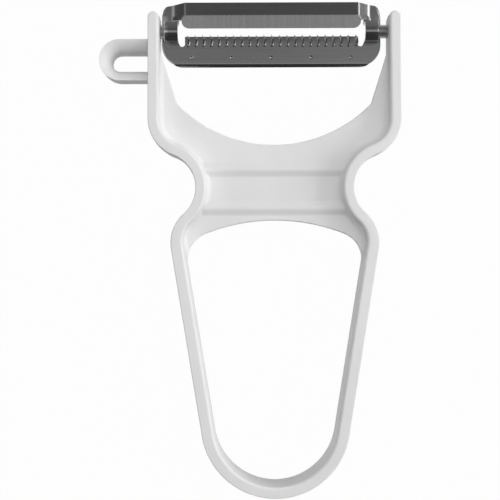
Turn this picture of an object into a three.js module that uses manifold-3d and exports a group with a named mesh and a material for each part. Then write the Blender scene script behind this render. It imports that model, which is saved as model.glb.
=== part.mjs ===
import * as THREE from 'three';
import { mergeVertices } from 'three/addons/utils/BufferGeometryUtils.js';
import Module from 'manifold-3d';

// Julienne peeler, in millimetres. It lies on its back: X runs across the handle, Y from the heel
// of the grip up to the blade, and Z from the table up to the working side. The origin is on the
// plane of symmetry, in the middle of the rim's back face at the heel.

const degree = Math.PI / 180;

// Handle rim: a drafted band, measured at its parting plane half way through the depth
const handleDepth = 11;
const heelRimWidth = 3.15;
const limbRimWidth = 3.4;
const armRimWidth = 3.1;
const armTipDepth = 8.5;
const rimDraft = 1.5 * degree;
const rimRound = 0.45;
const mostRoundShare = 0.9;

// Handle outline: arcs that run into each other, from the heel up to the arms
const heelRadius = 19.25;
const hipAboveHeel = 46.35;
const hipRadius = 10.1;
const hipWidth = 53.7;
const neckRadius = 8.8;
const neckWidth = 40.9;
const shoulderRadius = 10.1;
const armSpan = 65.2;
const pivotAboveShoulder = 23;
const armTipAbovePivot = 4.75;

// Web between the two sides of the neck, with cross ribs on both faces
const webThickness = 2.2;
const webHeight = 19.6;
const archAboveHip = 5.75;
const crescentRadius = 34.9;
const archRadius = 49.2;
const archFillet = 7.4;
const hornFootWidth = 50.5;
const hornBelowPivot = 5.3;
const ribWidth = 3.4;
const ribHeight = 1.1;
const ribSpacing = 10;
const lowerRibAboveArch = 3.2;
const webFillet = 1;

// Loop for digging out eyes, moulded on the left arm
const loopReach = 12.5;
const loopHeight = 10.65;
const loopDepth = 7;
const loopBelowPivot = 7.65;
const loopTopLimb = 3.4;
const loopBottomLimb = 2.3;
const loopEndLimb = 3;
const loopRound = 0.35;
const loopDishDepth = 2.2;
const loopDishSlope = 33 * degree;

// Pivot pins and their fits
const pinDiameter = 3.5;
const pinRecess = 0.2;
const pinChamfer = 0.35;
const pinGrip = 2.25;
const pressClearance = 0.05;
const swivelClearance = 0.12;

// Blade sheet, measured from the pivot line
const sheetThickness = 0.6;
const endPlayLeft = 0.4;
const endPlayRight = 1.1;
const endStripWidth = 4.4;
const notchWidth = 1.6;
const upperNotchWidth = 0.8;
const notchReach = 3.4;

// Sleeves pressed at the blade's ends, which wrap the pins from the front
const sleeveWrap = 134 * degree;
const sleeveFootBend = 0.5;
const sleeveSetback = 0.75;
const sleeveStep = 0.15;
const sleeveLap = 1.2;

// Cutting bar above the slot, pressed forward and ground to an edge
const cuttingEdge = 1.2;
const groundLine = 4.6;
const barTop = 7.95;
const barRise = 1.9;
const barTilt = 5 * degree;
const edgeThickness = 0.12;
const rampWidth = 3.3;
const rampInset = 1.45;
const barCorner = 1.9;
const topShoulderWidth = 45.1;
const topCornerHeight = 7.15;
const topCornerInset = 1.45;
const sideTop = 3.75;

// Toothed bar below the slot, with a turned-back lip
const toothedEdge = 0.75;
const bladeBottom = 8.8;
const bottomCorner = 5.3;
const lipBend = 0.9;
const lipTurn = 40 * degree;
const lipLength = 0.4;
const toothPitch = 2;
const toothLength = 2.7;
const toothHeight = 1.85;
const toothThickness = 0.55;
const toothTaper = 0.5;
const toothCrest = 0.12;
const toothBend = 0.3;
const toothBow = 0.3;
const toothOverhang = 0.12;
const toothRowMargin = 0.7;
const dimpleCount = 5;
const dimplePitch = 10.4;
const dimpleBelowPivot = 6.3;
const dimpleRadius = 0.55;
const dimpleDepth = 0.25;

// Facets along the round stretches
const heelSteps = 14;
const hipSteps = 7;
const neckSteps = 10;
const shoulderSteps = 7;
const crescentSteps = 20;
const archSteps = 12;
const filletSteps = 8;
const ribSteps = 8;
const loopSteps = 14;
const edgeSteps = 3;
const tipSteps = 8;
const pinSides = 28;
const sleeveSteps = 24;
const bendSteps = 6;
const cornerSteps = 8;
const rampSteps = 6;
const toothSteps = 5;
const tipTurn = 80 * degree;

const wasm = await Module();
wasm.setup();

// Closed geometry to solid and back

function solidOf(geometry) {
  const bare = geometry.clone();
  bare.deleteAttribute('normal');
  bare.deleteAttribute('uv');
  const merged = mergeVertices(bare);
  return new wasm.Manifold(new wasm.Mesh({
    numProp: 3,
    vertProperties: new Float32Array(merged.attributes.position.array),
    triVerts: new Uint32Array(merged.index.array),
  }));
}

function geometryOf(solid) {
  const mesh = solid.getMesh();
  const geometry = new THREE.BufferGeometry();
  geometry.setAttribute('position', new THREE.BufferAttribute(mesh.vertProperties, 3));
  geometry.setIndex(new THREE.BufferAttribute(mesh.triVerts, 1));
  geometry.computeVertexNormals();
  return geometry;
}

// Outlines and the solids made from them

function arc(centre, radius, start, end, steps) {
  const points = [];
  for (let step = 0; step <= steps; step += 1) {
    const angle = start + (end - start) * step / steps;
    points.push(new THREE.Vector2(
      centre.x + radius * Math.cos(angle),
      centre.y + radius * Math.sin(angle),
    ));
  }
  return points;
}

function mirrored(points) {
  return points.map((point) => new THREE.Vector2(-point.x, point.y)).reverse();
}

// Outline in X and Y, raised along Z
function raised(points, low, high) {
  const shape = new THREE.Shape(points);
  const geometry = new THREE.ExtrudeGeometry(shape, { depth: high - low, bevelEnabled: false });
  return solidOf(geometry.translate(0, 0, low));
}

// Section in Y and Z, drawn out along X
function drawnAcross(points, low, high) {
  const shape = new THREE.Shape(points);
  const geometry = new THREE.ExtrudeGeometry(shape, { depth: high - low, bevelEnabled: false });
  const turn = new THREE.Matrix4().makeBasis(
    new THREE.Vector3(0, 1, 0),
    new THREE.Vector3(0, 0, 1),
    new THREE.Vector3(1, 0, 0),
  );
  return solidOf(geometry.applyMatrix4(turn).translate(low, 0, 0));
}

// Closed skin over a row of rings, with a flat cap at both ends that fans out from the first corner
function loft(rings) {
  const size = rings[0].length;
  const corners = rings.flat().flatMap((point) => [point.x, point.y, point.z]);
  const faces = [];
  for (let row = 0; row + 1 < rings.length; row += 1) {
    for (let column = 0; column < size; column += 1) {
      const here = row * size + column;
      const beside = row * size + (column + 1) % size;
      faces.push(here, beside, beside + size, here, beside + size, here + size);
    }
  }
  const last = (rings.length - 1) * size;
  for (let column = 1; column + 1 < size; column += 1) {
    faces.push(0, column + 1, column);
    faces.push(last, last + column, last + column + 1);
  }
  const geometry = new THREE.BufferGeometry();
  geometry.setAttribute('position', new THREE.Float32BufferAttribute(corners, 3));
  geometry.setIndex(faces);
  return solidOf(geometry);
}

// Strip of even thickness along a bent centre line
function stripOutline(line, thickness) {
  const sideAt = (index, distance) => {
    const before = line[Math.max(index - 1, 0)];
    const after = line[Math.min(index + 1, line.length - 1)];
    const along = after.clone().sub(before).normalize();
    return new THREE.Vector2(line[index].x - along.y * distance, line[index].y + along.x * distance);
  };
  const right = line.map((point, index) => sideAt(index, -thickness / 2));
  const left = line.map((point, index) => sideAt(index, thickness / 2));
  return right.concat(left.reverse());
}

function cylinderAcross(radius, low, high, y, z) {
  const geometry = new THREE.CylinderGeometry(radius, radius, high - low, pinSides);
  geometry.rotateZ(Math.PI / 2);
  return solidOf(geometry.translate((low + high) / 2, y, z));
}

// Handle: where the outline's arcs are struck from, and the directions in which they meet

const halfDepth = handleDepth / 2;
const armOuter = armSpan / 2;
const armInner = armOuter - armRimWidth;
const heelCentre = new THREE.Vector2(0, heelRadius - heelRimWidth / 2);
const hipCentre = new THREE.Vector2(hipWidth / 2 - hipRadius, heelCentre.y + hipAboveHeel);
const neckCentre = touching(hipCentre, hipRadius + neckRadius, neckWidth / 2 + neckRadius);
const shoulderCentre = touching(neckCentre, neckRadius + shoulderRadius, armOuter - shoulderRadius);
const pivotY = shoulderCentre.y + pivotAboveShoulder;
const tipY = pivotY + armTipAbovePivot;
const tipCentre = new THREE.Vector2(armOuter - armRimWidth / 2, tipY - armRimWidth / 2);
const limbAngle = limbNormalAngle();
const hipEnd = neckCentre.clone().sub(hipCentre).angle();
const shoulderStart = neckCentre.clone().sub(shoulderCentre).angle() - 2 * Math.PI;

// Centre of the next arc up, at a given distance across, that just touches the one below
function touching(below, reach, x) {
  const across = x - below.x;
  return new THREE.Vector2(x, below.y + Math.sqrt(reach * reach - across * across));
}

// Direction square to the straight limb that touches both the heel's arc and the hip's
function limbNormalAngle() {
  const climb = hipCentre.clone().sub(heelCentre);
  return climb.angle() - Math.acos((heelRadius - hipRadius) / climb.length());
}

// One stretch of the rim's outer edge along an arc, with the way in and the rim's section at each place
function stretch(centre, radius, start, end, steps, firstWidth, lastWidth = firstWidth) {
  const inward = radius > 0 ? -1 : 1;
  return arc(centre, Math.abs(radius), start, end, steps).map((edge, index) => ({
    edge,
    inward: edge.clone().sub(centre).setLength(inward),
    width: firstWidth + (lastWidth - firstWidth) * index / steps,
    depth: handleDepth,
  }));
}

// Hip, neck and shoulder on the right; the neck is hollow, so its radius counts the other way
function flankPath() {
  const neckStart = hipEnd + Math.PI;
  const neckEnd = shoulderStart + Math.PI;
  return [
    ...stretch(hipCentre, hipRadius, limbAngle, hipEnd, hipSteps, limbRimWidth, armRimWidth),
    ...stretch(neckCentre, -neckRadius, neckStart, neckEnd, neckSteps, armRimWidth).slice(1),
    ...stretch(shoulderCentre, shoulderRadius, shoulderStart, 0, shoulderSteps, armRimWidth).slice(1),
  ];
}

// Round tip of the arm: its section narrows along a half circle, and its edges fall away as elsewhere
function tipPath() {
  const radius = armRimWidth / 2;
  return arc(tipCentre, radius, 0, tipTurn, tipSteps).map((edge) => {
    const fromEnd = tipCentre.y + radius - edge.y;
    const pastRound = Math.max(rimRound - fromEnd, 0);
    const fall = rimRound - Math.sqrt(rimRound ** 2 - pastRound ** 2);
    return {
      edge,
      inward: new THREE.Vector2(-1, 0),
      width: 2 * (edge.x - tipCentre.x),
      depth: armTipDepth - 2 * fall,
    };
  });
}

// Right half of the rim's path, from the heel to the tip of the arm
function rimPath() {
  return [
    ...stretch(heelCentre, heelRadius, -Math.PI / 2, limbAngle, heelSteps, heelRimWidth, limbRimWidth),
    ...flankPath(),
    ...tipPath(),
  ];
}

function insetAt(place, inset) {
  return place.edge.clone().addScaledVector(place.inward, inset);
}

// One quarter of the rim's section, as distance from its middle and height above it. Where the section
// is narrow its edges round off less, so that a little of the flat front is left.
function sectionQuarter(width, depth) {
  const high = depth / 2;
  const reach = width / 2 - high * Math.tan(rimDraft);
  const round = Math.min(rimRound, reach * mostRoundShare);
  const roundCentre = new THREE.Vector2(reach - round, high - round);
  return [
    new THREE.Vector2(width / 2, 0),
    ...arc(roundCentre, round, 0, Math.PI / 2, edgeSteps),
  ];
}

// Section of the rim, as inset from its outer edge and height above the table
function rimSection({ width, depth }) {
  const quarter = sectionQuarter(width, depth);
  const place = (across, up) => (point) => new THREE.Vector2(
    width / 2 + across * point.x,
    halfDepth + up * point.y,
  );
  return [
    ...quarter.map(place(-1, -1)),
    ...quarter.slice(1).map(place(1, -1)).reverse(),
    ...quarter.map(place(1, 1)),
    ...quarter.slice(1).map(place(-1, 1)).reverse(),
  ];
}

function makeRim() {
  const right = rimPath().map((place) => rimSection(place).map((point) => {
    const spot = insetAt(place, point.x);
    return new THREE.Vector3(spot.x, spot.y, point.y);
  }));
  const flip = (ring) => ring.map((point) => new THREE.Vector3(-point.x, point.y, point.z));
  const left = right.slice(1).map(flip).reverse();
  return loft(left.concat(right));
}

// Web: its plan runs into the rim at both sides, and its section carries the ribs

const archY = hipCentre.y + archAboveHip;
const crescentY = archY + webHeight;
const hornY = pivotY - hornBelowPivot;

function webPlan() {
  const across = new THREE.Vector2(Math.cos(limbAngle), Math.sin(limbAngle));
  const along = new THREE.Vector2(-across.y, across.x);
  const limbInside = across.dot(heelCentre) + heelRadius - limbRimWidth;
  const archCentre = new THREE.Vector2(0, archY - archRadius);
  const filletAcross = limbInside - archFillet;
  const side = filletAcross - across.dot(archCentre);
  const filletAlong = along.dot(archCentre) + Math.sqrt((archRadius - archFillet) ** 2 - side ** 2);
  const filletCentre = across.clone().multiplyScalar(filletAcross).addScaledVector(along, filletAlong);
  const archEnd = filletCentre.clone().sub(archCentre).angle();
  const crescentCentre = new THREE.Vector2(0, crescentY + crescentRadius);
  const cornerAngle = -Math.acos(hornFootWidth / 2 / crescentRadius);
  const right = [
    ...arc(archCentre, archRadius, Math.PI / 2, archEnd, archSteps / 2),
    ...arc(filletCentre, archFillet, archEnd, limbAngle, filletSteps).slice(1),
    filletCentre.clone().addScaledVector(across, archFillet + limbRimWidth / 2),
    ...flankPath().map((place) => insetAt(place, place.width / 2)),
    new THREE.Vector2(armOuter - armRimWidth / 2, hornY),
    new THREE.Vector2(armInner, hornY),
    ...arc(crescentCentre, crescentRadius, cornerAngle, -Math.PI / 2, crescentSteps / 2),
  ];
  return right.concat(mirrored(right).slice(1, -1));
}

function webSection() {
  const face = halfDepth + webThickness / 2;
  const lowerRib = archY + lowerRibAboveArch;
  const front = [new THREE.Vector2(heelCentre.y, face)];
  for (const y of [lowerRib, lowerRib + ribSpacing]) {
    for (let step = 0; step <= ribSteps; step += 1) {
      const angle = Math.PI * (1 - step / ribSteps);
      front.push(new THREE.Vector2(
        y + ribWidth / 2 * Math.cos(angle),
        face + ribHeight * Math.sin(angle),
      ));
    }
  }
  front.push(new THREE.Vector2(pivotY, face));
  const back = front.map((point) => new THREE.Vector2(point.x, handleDepth - point.y)).reverse();
  return front.concat(back);
}

// Hollow fillet where one face of the web meets the rim on one side, sunk into both
function makeWebFillet(side, face) {
  const sunk = armRimWidth / 2;
  const coveCentre = new THREE.Vector2(webFillet, webThickness / 2 + webFillet);
  const section = [
    new THREE.Vector2(-sunk, 0),
    new THREE.Vector2(webFillet, 0),
    ...arc(coveCentre, webFillet, 3 * Math.PI / 2, Math.PI, edgeSteps),
    new THREE.Vector2(-sunk, coveCentre.y),
  ];
  const rings = rimPath().slice(heelSteps, -tipSteps).map((place) => section.map((point) => {
    const wall = place.width - point.y * Math.tan(rimDraft);
    const spot = insetAt(place, wall + point.x);
    return new THREE.Vector3(side * spot.x, spot.y, halfDepth + face * point.y);
  }));
  return loft(side * face > 0 ? rings : rings.reverse());
}

function makeWeb() {
  const slab = drawnAcross(webSection(), -armSpan, armSpan);
  const fillets = [-1, 1].flatMap((side) => [-1, 1].map((face) => makeWebFillet(side, face)));
  return slab.add(wasm.Manifold.union(fillets)).intersect(raised(webPlan(), 0, handleDepth));
}

// Funnel that opens from the loop's hole to its outer edge and dishes the front of the bow
function makeLoopDish(holeCentre, holeRadius, root) {
  const ringAt = (reach) => {
    const radius = holeRadius + reach;
    const z = halfDepth + loopDepth / 2 - loopDishDepth + reach * Math.tan(loopDishSlope);
    return [
      new THREE.Vector2(root, holeCentre.y + radius),
      ...arc(holeCentre, radius, Math.PI / 2, 3 * Math.PI / 2, loopSteps),
      new THREE.Vector2(root, holeCentre.y - radius),
    ].map((point) => new THREE.Vector3(point.x, point.y, z));
  };
  return loft([ringAt(-holeRadius / 2), ringAt(loopHeight)]);
}

// Loop on the left arm: a dished bow whose two roots are sunk in the arm
function makeLoop() {
  const root = -armOuter + armRimWidth / 2;
  const top = pivotY - loopBelowPivot + loopHeight / 2;
  const bottom = top - loopHeight;
  const outerRadius = loopHeight / 2;
  const end = -armOuter - loopReach;
  const outerCentre = new THREE.Vector2(end + outerRadius, bottom + outerRadius);
  const holeTop = top - loopTopLimb;
  const holeBottom = bottom + loopBottomLimb;
  const holeRadius = (holeTop - holeBottom) / 2;
  const holeCentre = new THREE.Vector2(end + loopEndLimb + holeRadius, holeBottom + holeRadius);
  const shape = new THREE.Shape([
    new THREE.Vector2(root, top),
    ...arc(outerCentre, outerRadius, Math.PI / 2, 3 * Math.PI / 2, loopSteps),
    new THREE.Vector2(root, bottom),
    new THREE.Vector2(root, holeBottom),
    ...arc(holeCentre, holeRadius, 3 * Math.PI / 2, Math.PI / 2, loopSteps),
    new THREE.Vector2(root, holeTop),
  ]);
  const geometry = new THREE.ExtrudeGeometry(shape, {
    depth: loopDepth - 2 * loopRound,
    bevelThickness: loopRound,
    bevelSize: loopRound,
    bevelOffset: -loopRound,
    bevelSegments: edgeSteps,
  });
  const bow = solidOf(geometry.translate(0, 0, halfDepth - loopDepth / 2 + loopRound));
  return bow.subtract(makeLoopDish(holeCentre, holeRadius, root + armRimWidth / 2));
}

function makeHandle() {
  const holeRadius = pinDiameter / 2 + pressClearance;
  return makeRim()
    .add(makeWeb())
    .add(makeLoop())
    .subtract(cylinderAcross(holeRadius, -armSpan, armSpan, pivotY, halfDepth));
}

// Blade: drawn about the pivot line, which is its own X axis

const bladeLength = 2 * armInner - endPlayLeft - endPlayRight;
const bladeHalf = bladeLength / 2;
const stripInner = bladeHalf - endStripWidth;
const barHalf = stripInner - notchWidth;
const cuttingHalf = stripInner - upperNotchWidth;
const rampTop = cuttingHalf - rampInset;
const sleeveRadius = pinDiameter / 2 + swivelClearance + sheetThickness / 2;
const sleeveFoot = (sleeveRadius + sleeveFootBend) * Math.sin(sleeveWrap);
const sheetZ = (sleeveRadius + sleeveFootBend) * Math.cos(sleeveWrap) - sleeveFootBend;

// Upper half of the sleeve's centre line, from the pin's front round to the flat strip
function sleeveHalf() {
  const pin = new THREE.Vector2(0, 0);
  const bend = new THREE.Vector2(sleeveFoot, sheetZ + sleeveFootBend);
  return [
    ...arc(pin, sleeveRadius, Math.PI / 2, Math.PI / 2 - sleeveWrap, sleeveSteps / 2),
    ...arc(bend, sleeveFootBend, 3 * Math.PI / 2 - sleeveWrap, 3 * Math.PI / 2, bendSteps).slice(1),
    new THREE.Vector2(sleeveFoot + sleeveLap, sheetZ),
  ];
}

function makeSleeve(side) {
  const half = sleeveHalf();
  const line = mirrored(half).concat(half.slice(1));
  const inner = stripInner + sleeveStep;
  const outer = bladeHalf - sleeveSetback;
  const outline = stripOutline(line, sheetThickness);
  return side > 0 ? drawnAcross(outline, inner, outer) : drawnAcross(outline, -outer, -inner);
}

// Flat margin of the sheet beyond a sleeve, which passes behind the pin
function makeMargin(side) {
  const outline = [
    new THREE.Vector2(-sleeveFoot - sleeveLap, sheetZ - sheetThickness / 2),
    new THREE.Vector2(sleeveFoot + sleeveLap, sheetZ - sheetThickness / 2),
    new THREE.Vector2(sleeveFoot + sleeveLap, sheetZ + sheetThickness / 2),
    new THREE.Vector2(-sleeveFoot - sleeveLap, sheetZ + sheetThickness / 2),
  ];
  const inner = bladeHalf - sleeveSetback;
  return side > 0 ? drawnAcross(outline, inner, bladeHalf) : drawnAcross(outline, -bladeHalf, -inner);
}

// Plan of the cutting bar, from the middle of its edge round to the middle of its top
function cuttingPlan() {
  const cornerCentre = new THREE.Vector2(cuttingHalf - barCorner, cuttingEdge + barCorner);
  const notchRadius = upperNotchWidth / 2;
  const notchCentre = new THREE.Vector2(cuttingHalf + notchRadius, notchReach - notchRadius);
  const topCorner = new THREE.EllipseCurve(
    bladeHalf - topCornerInset,
    sideTop,
    topCornerInset,
    topCornerHeight - sideTop,
    0,
    Math.PI / 2,
  );
  const right = [
    new THREE.Vector2(0, cuttingEdge),
    ...arc(cornerCentre, barCorner, -Math.PI / 2, 0, cornerSteps),
    ...arc(notchCentre, notchRadius, Math.PI, 0, cornerSteps),
    new THREE.Vector2(stripInner, sleeveFoot),
    new THREE.Vector2(bladeHalf, sleeveFoot),
    ...topCorner.getPoints(cornerSteps),
    new THREE.Vector2(topShoulderWidth / 2, barTop),
    new THREE.Vector2(0, barTop),
  ];
  return right.concat(mirrored(right).slice(1, -1));
}

// How far along the ramp a place across the blade is: 0 on the end strip, 1 on the raised bar
function rampShare(x) {
  const along = (rampTop + rampWidth - Math.abs(x)) / rampWidth;
  const share = Math.min(Math.max(along, 0), 1);
  return (1 - Math.cos(Math.PI * share)) / 2;
}

function makeCuttingBar() {
  const right = [];
  for (let step = 0; step <= rampSteps; step += 1) {
    right.push(rampTop + rampWidth * step / rampSteps);
  }
  right.push(bladeHalf);
  const stations = right.map((x) => -x).reverse().concat(right);
  const middle = (x, y) => {
    const lean = (groundLine - y) * Math.tan(barTilt);
    return sheetZ + rampShare(x) * (barRise + lean);
  };
  const groundOff = sheetThickness - edgeThickness;
  const rings = stations.map((x) => {
    const at = (y, offset) => new THREE.Vector3(x, y, middle(x, y) + offset);
    return [
      at(cuttingEdge, -sheetThickness / 2),
      at(barTop, -sheetThickness / 2),
      at(barTop, sheetThickness / 2),
      at(groundLine, sheetThickness / 2),
      at(cuttingEdge, sheetThickness / 2 - groundOff * rampShare(x)),
    ];
  });
  return loft(rings).intersect(raised(cuttingPlan(), -handleDepth, handleDepth));
}

// Plan of the toothed bar, from the middle of its edge round to the middle of its lip
function toothedPlan() {
  const notchRadius = notchWidth / 2;
  const notchCentre = new THREE.Vector2(barHalf + notchRadius, notchRadius - notchReach);
  const cornerCentre = new THREE.Vector2(bladeHalf - bottomCorner, bottomCorner - bladeBottom);
  const right = [
    new THREE.Vector2(0, -toothedEdge),
    new THREE.Vector2(barHalf, -toothedEdge),
    ...arc(notchCentre, notchRadius, Math.PI, 2 * Math.PI, cornerSteps),
    new THREE.Vector2(stripInner, -sleeveFoot),
    new THREE.Vector2(bladeHalf, -sleeveFoot),
    ...arc(cornerCentre, bottomCorner, 0, -Math.PI / 2, cornerSteps),
    new THREE.Vector2(0, -bladeBottom),
  ];
  return right.concat(mirrored(right).slice(1, -1));
}

function makeToothedBar() {
  const lipOuter = lipBend + sheetThickness / 2;
  const lipStart = lipOuter * Math.sin(lipTurn) + lipLength * Math.cos(lipTurn) - bladeBottom;
  const bend = new THREE.Vector2(lipStart, sheetZ - lipBend);
  const turned = arc(bend, lipBend, Math.PI / 2, Math.PI / 2 + lipTurn, bendSteps);
  const tip = turned[bendSteps].clone();
  tip.x -= lipLength * Math.cos(lipTurn);
  tip.y -= lipLength * Math.sin(lipTurn);
  const line = [new THREE.Vector2(-toothedEdge, sheetZ), ...turned, tip].reverse();
  const bar = drawnAcross(stripOutline(line, sheetThickness), -bladeHalf, bladeHalf);
  return bar.intersect(raised(toothedPlan(), -handleDepth, handleDepth));
}

// One tooth: a bowed fin bent up from the sheet, tallest at the edge and running out below it
function makeTooth(x) {
  const foot = sheetZ + sheetThickness / 4;
  const face = sheetZ + sheetThickness / 2;
  const rings = [];
  for (let step = 0; step <= toothSteps; step += 1) {
    const share = step / toothSteps;
    const y = -toothedEdge - toothLength * share;
    const crestY = y + toothOverhang * (1 - share);
    const fall = Math.sqrt(1 - share * share);
    const middle = x + toothBow * Math.sin(Math.PI * share);
    const half = toothThickness / 2 * (1 - toothTaper * share);
    const crest = toothCrest / 2;
    const crestZ = face + toothHeight * fall;
    rings.push([
      new THREE.Vector3(middle - half, y, foot),
      new THREE.Vector3(middle + half + toothBend, y, foot),
      new THREE.Vector3(middle + half, y, face + toothBend * fall),
      new THREE.Vector3(middle + crest, crestY, crestZ),
      new THREE.Vector3(middle - crest, crestY, crestZ),
    ]);
  }
  return loft(rings);
}

function makeDimple(x) {
  const sphereRadius = (dimpleRadius ** 2 + dimpleDepth ** 2) / (2 * dimpleDepth);
  const face = sheetZ + sheetThickness / 2;
  const geometry = new THREE.SphereGeometry(sphereRadius, 2 * cornerSteps, 2 * cornerSteps);
  geometry.rotateX(Math.PI / 2);
  return solidOf(geometry.translate(x, -dimpleBelowPivot, face + sphereRadius - dimpleDepth));
}

function makeBlade() {
  let blade = makeToothedBar()
    .add(makeCuttingBar())
    .add(makeSleeve(1))
    .add(makeSleeve(-1))
    .add(makeMargin(1))
    .add(makeMargin(-1));
  const toothCount = Math.floor(2 * (barHalf - toothRowMargin) / toothPitch) + 1;
  for (let index = 0; index < toothCount; index += 1) {
    blade = blade.add(makeTooth((index - (toothCount - 1) / 2) * toothPitch));
  }
  for (let index = 0; index < dimpleCount; index += 1) {
    blade = blade.subtract(makeDimple((index - (dimpleCount - 1) / 2) * dimplePitch));
  }
  return blade;
}

// Pin: flush in its arm, chamfered at both ends, long enough to carry the sleeve at the slack side
function makePin(side) {
  const radius = pinDiameter / 2;
  const length = armRimWidth - pinRecess + endPlayRight + sleeveSetback + pinGrip;
  const profile = [
    new THREE.Vector2(0, 0),
    new THREE.Vector2(radius - pinChamfer, 0),
    new THREE.Vector2(radius, pinChamfer),
    new THREE.Vector2(radius, length - pinChamfer),
    new THREE.Vector2(radius - pinChamfer, length),
    new THREE.Vector2(0, length),
  ];
  const geometry = new THREE.LatheGeometry(profile, pinSides);
  geometry.rotateZ(side * Math.PI / 2);
  return solidOf(geometry.translate(side * (armOuter - pinRecess), 0, 0));
}

// The assembly

const whitePlastic = { color: 0xe6e6e7, roughness: 0.45, metalness: 0 };
const stampedSteel = { color: 0x8c8e90, roughness: 0.32, metalness: 1 };
const turnedSteel = { color: 0x77797b, roughness: 0.38, metalness: 1 };

function piece(name, solid, look) {
  const mesh = new THREE.Mesh(geometryOf(solid), new THREE.MeshStandardMaterial(look));
  mesh.name = name;
  return mesh;
}

const peeler = new THREE.Group();
peeler.add(piece('handle', makeHandle(), whitePlastic));

const pivot = new THREE.Group();
pivot.position.set(0, pivotY, halfDepth);
pivot.add(piece('pivot_pin_left', makePin(-1), turnedSteel));
pivot.add(piece('pivot_pin_right', makePin(1), turnedSteel));

const blade = piece('blade', makeBlade(), stampedSteel);
blade.position.x = (endPlayLeft - endPlayRight) / 2;
pivot.add(blade);
peeler.add(pivot);

export default peeler;
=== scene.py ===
import math

import bpy
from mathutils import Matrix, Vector


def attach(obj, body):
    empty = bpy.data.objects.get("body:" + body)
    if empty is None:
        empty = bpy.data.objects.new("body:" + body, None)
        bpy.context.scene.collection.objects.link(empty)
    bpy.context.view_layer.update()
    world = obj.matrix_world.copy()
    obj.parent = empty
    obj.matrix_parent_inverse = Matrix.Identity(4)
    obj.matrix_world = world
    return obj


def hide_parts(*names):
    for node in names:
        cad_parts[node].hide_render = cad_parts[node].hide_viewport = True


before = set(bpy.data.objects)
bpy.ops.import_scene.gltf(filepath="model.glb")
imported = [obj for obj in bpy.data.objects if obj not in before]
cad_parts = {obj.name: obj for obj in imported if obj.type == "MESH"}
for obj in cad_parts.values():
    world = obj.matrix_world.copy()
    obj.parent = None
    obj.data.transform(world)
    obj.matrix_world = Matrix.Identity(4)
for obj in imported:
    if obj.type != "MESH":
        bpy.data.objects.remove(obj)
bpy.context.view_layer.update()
mm = 0.001
# in millimetres: how close points are welded or cut as one, or picked as lying on a line or a face
tolerance = {'weld': 0.002, 'outline': 0.005, 'mirror': 0.01, 'cut': 0.001, 'line': 0.01, 'face': 0.1}
sharpCorner = math.radians(60)
print("stage: frame loaded")


def addNode(tree, kind, settings=None, links=None):
    node = tree.nodes.new(kind)
    for key, value in (settings or {}).items():
        if isinstance(key, int) or key in node.inputs:
            node.inputs[key].default_value = value
        else:
            setattr(node, key, value)
    for key, socket in (links or {}).items():
        tree.links.new(socket, node.inputs[key])
    return node


# places are given in millimetres
def at(x, y, z=0.0):
    return (x * mm, y * mm, z * mm)


def blend(first, last, share):
    return first + (last - first) * min(max(share, 0.0), 1.0)


def only(obj):
    bpy.ops.object.select_all(action='DESELECT')
    bpy.context.view_layer.objects.active = obj
    obj.select_set(True)


def editAll(obj):
    only(obj)
    bpy.ops.object.mode_set(mode='EDIT')
    bpy.ops.mesh.select_all(action='SELECT')


def doneEditing():
    bpy.ops.object.mode_set(mode='OBJECT')


# a plane shrunk to one point, ready to be drawn out into an outline
def beginOutline(name, x, y, z):
    bpy.ops.mesh.primitive_plane_add(size=mm, location=at(x, y, z))
    obj = bpy.context.object
    obj.name = name
    bpy.ops.object.transform_apply(location=True)
    editAll(obj)
    bpy.ops.mesh.merge(type='COLLAPSE')
    return obj


def lineBy(x, y, z=0.0):
    bpy.ops.mesh.extrude_region_move(TRANSFORM_OT_translate={"value": at(x, y, z)})


# anticlockwise seen from the axis' far end; spin counts the other way
def arcAbout(centre, angle, steps, axis=(0, 0, 1)):
    bpy.ops.mesh.spin(steps=steps, angle=-angle, center=at(*centre), axis=axis)


def fillAll():
    bpy.ops.mesh.select_all(action='SELECT')
    bpy.ops.mesh.edge_face_add()


def selectWhere(obj, test):
    bpy.ops.object.mode_set(mode='OBJECT')
    for vertex in obj.data.vertices:
        vertex.select = bool(test(vertex.co / mm))
    for edge in obj.data.edges:
        edge.select = all(obj.data.vertices[i].select for i in edge.vertices)
    for face in obj.data.polygons:
        face.select = all(obj.data.vertices[i].select for i in face.vertices)
    bpy.ops.object.mode_set(mode='EDIT')


def applyModifier(obj, kind, **settings):
    only(obj)
    modifier = obj.modifiers.new(kind.title(), kind)
    for key, value in settings.items():
        setattr(modifier, key, value)
    bpy.ops.object.modifier_apply(modifier=modifier.name)


def roundCorners(obj, radius, segments):
    applyModifier(obj, 'BEVEL', width=radius * mm, segments=segments, limit_method='ANGLE',
                  angle_limit=sharpCorner)


def mirrorHalf(obj, alsoBack=False):
    applyModifier(obj, 'MIRROR', use_axis=(True, False, alsoBack), use_mirror_merge=True,
                  merge_threshold=tolerance['mirror'] * mm)


# the right half of an outline becomes one whole face
def fillMirrored(obj):
    doneEditing()
    mirrorHalf(obj)
    editAll(obj)
    bpy.ops.mesh.remove_doubles(threshold=tolerance['outline'] * mm)
    fillAll()
    doneEditing()


def closeNormals(obj):
    editAll(obj)
    bpy.ops.mesh.remove_doubles(threshold=tolerance['weld'] * mm)
    bpy.ops.mesh.normals_make_consistent(inside=False)
    doneEditing()


# booleans leave slivers and loose bits behind
def dropSlivers(obj):
    editAll(obj)
    bpy.ops.mesh.remove_doubles(threshold=tolerance['weld'] * mm)
    bpy.ops.mesh.dissolve_degenerate(threshold=tolerance['weld'] * mm)
    bpy.ops.mesh.delete_loose(use_faces=True)
    doneEditing()


def joinAll(first, others):
    only(first)
    for other in others:
        other.select_set(True)
    bpy.ops.object.join()


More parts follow.
